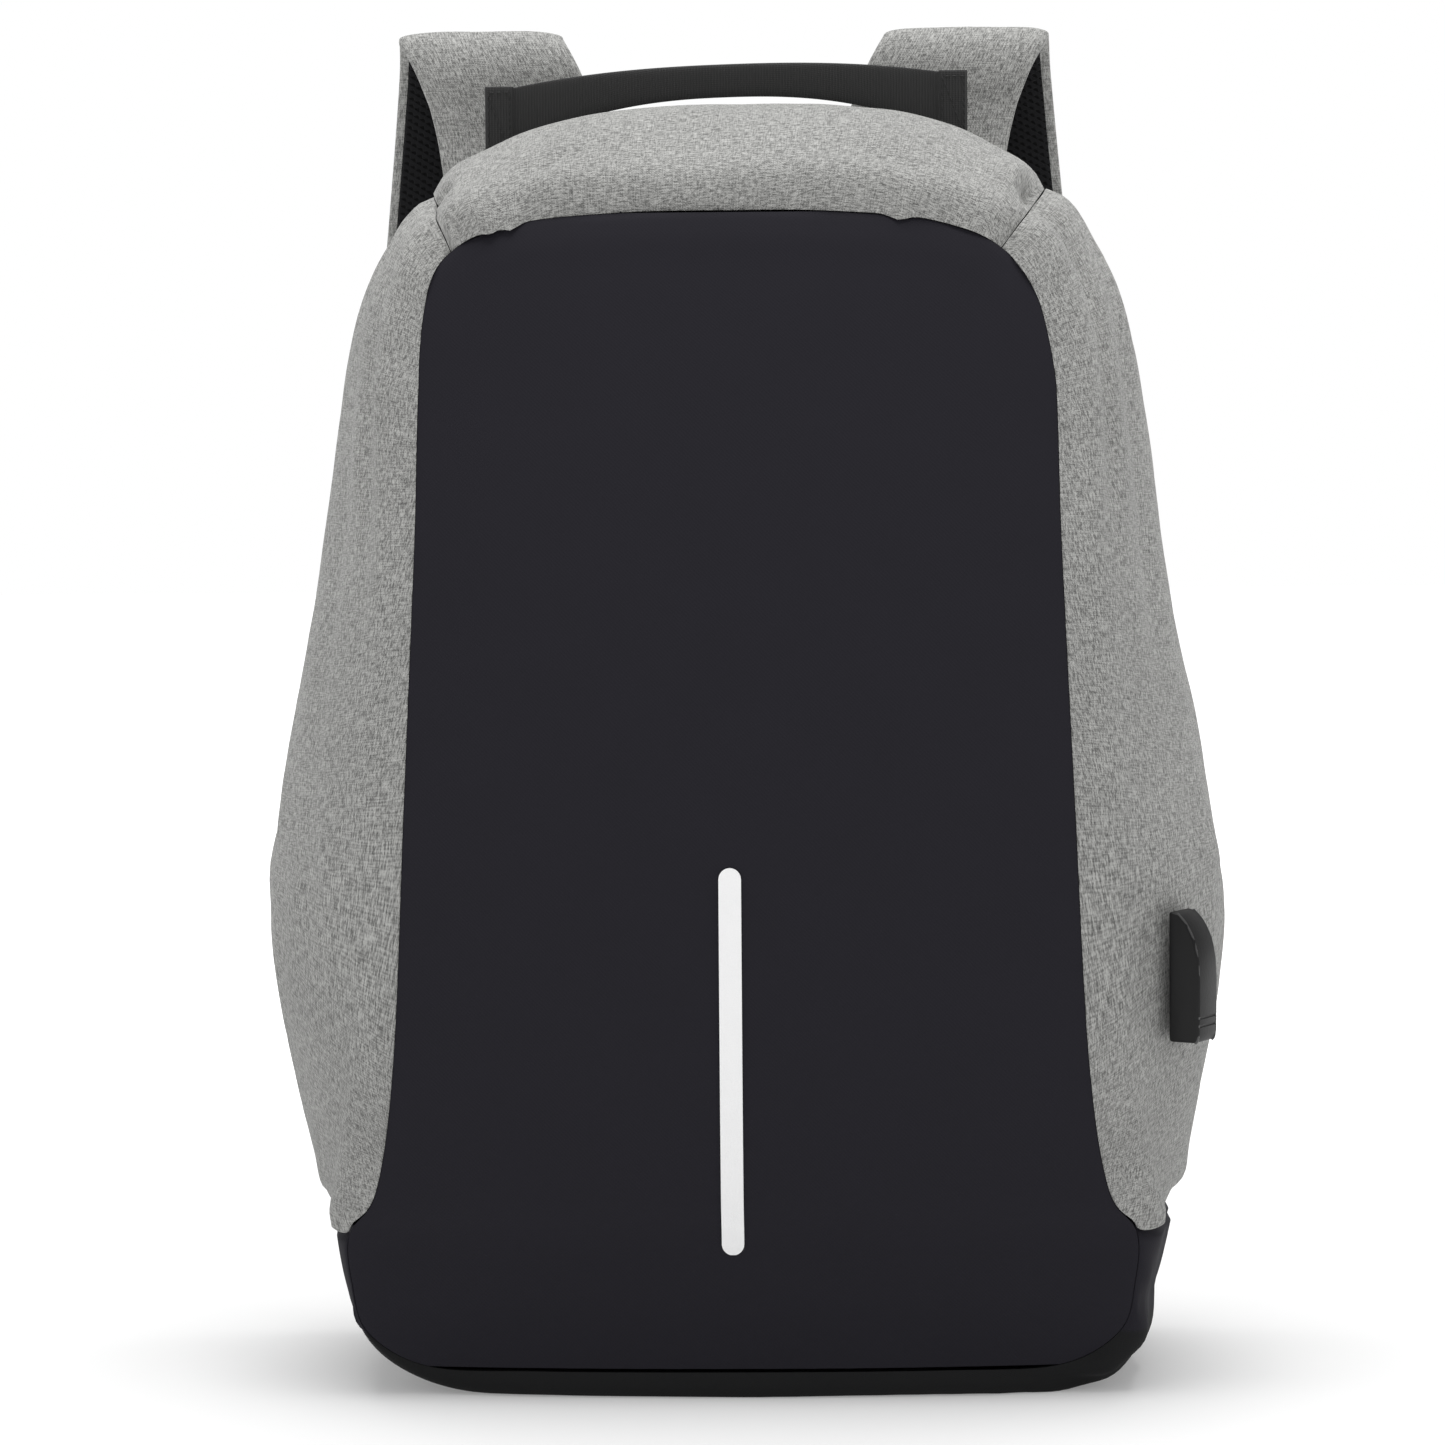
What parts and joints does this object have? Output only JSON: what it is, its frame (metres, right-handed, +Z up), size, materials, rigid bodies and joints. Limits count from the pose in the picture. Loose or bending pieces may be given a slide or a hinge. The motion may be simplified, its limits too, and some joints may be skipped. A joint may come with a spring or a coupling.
{
  "type": "backpack with a usb outlet",
  "caption": "Backpack with a plain stiff front panel, padded fabric sides, a back that unzips, shoulder straps, a carry handle and a USB outlet on one side.",
  "frame": {"origin": "middle of the flat underside of the base", "axes": "+Z up, the front panel faces -Y, +X is to the right of someone looking at the front panel"},
  "size_m": [0.3351, 0.2027, 0.473],
  "materials": {
    "heather_fabric": "grey heathered woven polyester, matt",
    "panel_fabric": "near-black coated woven fabric over foam, matt",
    "base_fabric": "black coated woven fabric, matt",
    "lining": "dark grey plain-woven lining",
    "spacer_mesh": "black spacer mesh with small holes",
    "webbing": "black ribbed webbing",
    "foam": "closed-cell foam board",
    "reflective_tape": "white reflective tape with small glass beads",
    "black_plastic": "moulded black plastic, fine texture",
    "lead_jacket": "black flexible lead jacket",
    "socket_plastic": "white moulded contact carrier",
    "plated_steel": "nickel-plated steel",
    "black_metal": "black painted zinc",
    "zip_tape": "black woven zip tape with coil teeth"
  },
  "bodies": {
    "shell": {"front_panel": "panel_fabric", "front_foam_board": "foam", "organiser_pocket": "lining", "reflective_strip": "reflective_tape", "left_side_gusset": "heather_fabric", "right_side_gusset": "heather_fabric", "top_gusset": "heather_fabric", "base": "base_fabric", "base_back_wall": "base_fabric", "base_board": "foam", "zip_tape_shell_side": "zip_tape", "usb_housing": "black_plastic", "usb_socket_shell": "plated_steel", "usb_tongue": "socket_plastic", "usb_back_plate": "black_plastic", "usb_upper_screw": "plated_steel", "usb_lower_screw": "plated_steel", "usb_lead": "lead_jacket", "usb_plug": "black_plastic", "power_bank_pocket": "lining"},
    "back_panel": {"back_board": "lining", "zip_tape_panel_side": "zip_tape", "left_back_pad": "spacer_mesh", "right_back_pad": "spacer_mesh", "lumbar_pad": "spacer_mesh", "laptop_sleeve": "lining", "left_strap_anchor": "heather_fabric", "right_strap_anchor": "heather_fabric", "left_lower_anchor": "webbing", "right_lower_anchor": "webbing"},
    "laptop_strap": {"laptop_strap": "webbing"},
    "handle": {"handle_band": "webbing", "handle_left_tab": "webbing", "handle_right_tab": "webbing"},
    "left_strap": {"left_strap_pad": "heather_fabric", "left_strap_mesh": "spacer_mesh", "left_upper_webbing": "webbing", "left_ladder_lock": "black_plastic", "left_lower_webbing": "webbing", "left_webbing_tail": "webbing"},
    "right_strap": {"right_strap_pad": "heather_fabric", "right_strap_mesh": "spacer_mesh", "right_upper_webbing": "webbing", "right_ladder_lock": "black_plastic", "right_lower_webbing": "webbing", "right_webbing_tail": "webbing"},
    "left_slider": {"left_zip_slider": "black_metal"},
    "left_pull": {"left_zip_pull": "black_plastic"},
    "right_slider": {"right_zip_slider": "black_metal"},
    "right_pull": {"right_zip_pull": "black_plastic"}
  },
  "joints": [
    {"name": "back_panel_hinge", "type": "hinge", "parent": "shell", "child": "back_panel", "pos_m": [0, 0.0655, 0.0515], "axis": [-1, 0, 0], "range_deg": [0, 90]},
    {"name": "laptop_strap_hinge", "type": "hinge", "parent": "back_panel", "child": "laptop_strap", "pos_m": [0, 0.06, 0.352], "axis": [-1, 0, 0], "range_deg": [0, 110]},
    {"name": "handle_hinge", "type": "hinge", "parent": "shell", "child": "handle", "pos_m": [-0.0075, 0.045, 0.427], "axis": [1, 0, 0], "range_deg": [-16, 22]},
    {"name": "left_strap_swing", "type": "hinge", "parent": "back_panel", "child": "left_strap", "pos_m": [-0.082, 0.0765, 0.44], "axis": [0.1005, 0.0056, 0.9949], "range_deg": [-12, 35]},
    {"name": "right_strap_swing", "type": "hinge", "parent": "back_panel", "child": "right_strap", "pos_m": [0.0674, 0.0765, 0.44], "axis": [0.1405, -0.0056, -0.9901], "range_deg": [-12, 35]},
    {"name": "left_slider_run", "type": "slide", "parent": "shell", "child": "left_slider", "axis": [0, 0, 1], "range_m": [-0.02, 0.06]},
    {"name": "left_pull_hinge", "type": "hinge", "parent": "left_slider", "child": "left_pull", "pos_m": [-0.1566, 0.0556, 0.1375], "axis": [0, 1, 0], "range_deg": [0, 95]},
    {"name": "right_slider_run", "type": "slide", "parent": "shell", "child": "right_slider", "axis": [0, 0, 1], "range_m": [-0.02, 0.06]},
    {"name": "right_pull_hinge", "type": "hinge", "parent": "right_slider", "child": "right_pull", "pos_m": [0.1566, 0.0556, 0.1375], "axis": [0, -1, 0], "range_deg": [0, 95]}
  ]
}
